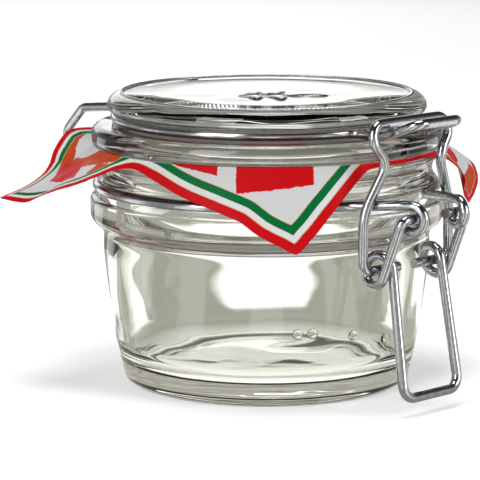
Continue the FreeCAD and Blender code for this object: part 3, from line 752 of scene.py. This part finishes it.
def make_world():
    """White where the camera sees it, and soft grey fields for what glass and steel gather."""
    world = bpy.data.worlds.new("studio")
    bpy.context.scene.world = world
    world.use_nodes = True
    tree = world.node_tree
    coords = node(tree, "ShaderNodeTexCoord")
    height = node(tree, "ShaderNodeSeparateXYZ", {0: coords.outputs["Generated"]}).outputs["Z"]
    walls = ramp(tree, height, [(0.0, (0.55, 0.55, 0.54)), (0.25, (0.36, 0.36, 0.36)),
                                (0.50, (0.06, 0.06, 0.07)), (1.0, (0.03, 0.03, 0.035))])
    inside = ramp(tree, height, [(0.0, (0.50, 0.49, 0.46)), (0.20, (0.55, 0.54, 0.505)),
                                 (0.34, (0.21, 0.195, 0.17)), (0.60, (0.30, 0.295, 0.27)),
                                 (1.0, (0.62, 0.61, 0.58))])
    flow = node(tree, "ShaderNodeMapping", {"Vector": coords.outputs["Generated"], "Scale": (1.0, 1.0, 6.0)})
    patches = node(tree, "ShaderNodeTexNoise", {"Vector": flow.outputs["Vector"], "Scale": 5.0,
                                                "Detail": 4.0})
    tints = ramp(tree, patches.outputs["Fac"], [(0.38, (0.70, 0.56, 0.50)), (0.50, (1.0, 0.99, 0.96)),
                                                (0.62, (0.80, 0.90, 0.84))])
    inside = node(tree, "ShaderNodeVectorMath", {0: inside, 1: tints}, operation="MULTIPLY").outputs[0]
    passed = node(tree, "ShaderNodeLightPath").outputs["Is Transmission Ray"]
    around = mixed(tree, passed, walls, inside)
    background = tree.nodes["Background"]
    tree.links.new(seen_two_ways(tree, (1, 1, 1), around), background.inputs["Color"])
    background.inputs["Strength"].default_value = 1.0


def make_floor():
    """Plain white to the camera; for what glass and steel gather it glows as painted light, grey with a
    bright pool under the object and white cards lying on it.
    """
    half = FLOOR_HALF
    floor = new_mesh("floor", [(-half, -half, 0), (half, -half, 0), (half, half, 0), (-half, half, 0)],
                     [(0, 1, 2, 3)], smooth=False)
    material, tree, shader = new_material("floor_white")
    place = node(tree, "ShaderNodeTexCoord").outputs["Object"]
    away = node(tree, "ShaderNodeVectorMath", {0: place}, operation="LENGTH").outputs["Value"]
    # painted light: a bright glowing pool under the object's foot, then glowing grey farther out
    painted_floor_glow = ramp(tree, away, [(0.026, (0.95, 0.95, 0.91)), (0.042, GREY_CARD), (0.30, GREY_CARD),
                             (0.60, (0.24, 0.235, 0.215))])
    cards = mixed(tree, glowing_card_mask(tree, place, away), painted_floor_glow, (1.0, 1.0, 0.98))
    shader.inputs["Base Color"].default_value = (0.93, 0.93, 0.93, 1)
    shader.inputs["Roughness"].default_value = 0.9
    shader.inputs["Emission Color"].default_value = (1, 1, 1, 1)
    shader.inputs["Emission Strength"].default_value = 0.35
    gathered = node(tree, "ShaderNodeEmission", {"Color": cards, "Strength": CARD_GLOW})
    both = node(tree, "ShaderNodeMixShader", {0: node(tree, "ShaderNodeLightPath").outputs["Is Camera Ray"]})
    tree.links.new(gathered.outputs[0], both.inputs[1])
    tree.links.new(shader.outputs[0], both.inputs[2])
    tree.links.new(both.outputs[0], tree.nodes["Material Output"].inputs["Surface"])
    floor.data.materials.append(material)


def make_lights():
    area_light("overhead", (0.0, 0.0, 1.3), (0.6, 0.6), 9.0)
    area_light("key", (-0.95, -0.15, 0.45), (0.5, 0.8), 6.0)
    area_light("fill", (0.35, -1.0, 0.35), (0.4, 0.7), 5.5)
    area_light("rim", (0.6, 0.9, 0.4), (0.7, 0.5), 1.5)


def make_camera():
    data = bpy.data.cameras.new("camera")
    data.sensor_width = 36.0
    data.lens = LENS
    camera = bpy.data.objects.new("camera", data)
    camera.location = CAMERA_PLACE
    bpy.context.scene.collection.objects.link(camera)
    aim(camera, CAMERA_AIM)
    bpy.context.scene.camera = camera


def dress_nodes():
    steel, rubber = steel_material(), rubber_material()
    wires = ("lid_wire", "neck_wire", "bail_lever", "bail_link")
    finishes = {**dict.fromkeys(wires, steel), "gasket": rubber}
    for name, material in finishes.items():
        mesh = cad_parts[name].data
        mesh.materials.clear()
        mesh.materials.append(material)


make_camera()
make_world()
make_floor()
make_lights()
dress_nodes()
glass = glass_material()
make_glass(glass)
make_knurl(glass)
make_relief(glass)
make_dots(glass)
make_kerchief(film_material())
bpy.context.scene.view_settings.view_transform = "Standard"
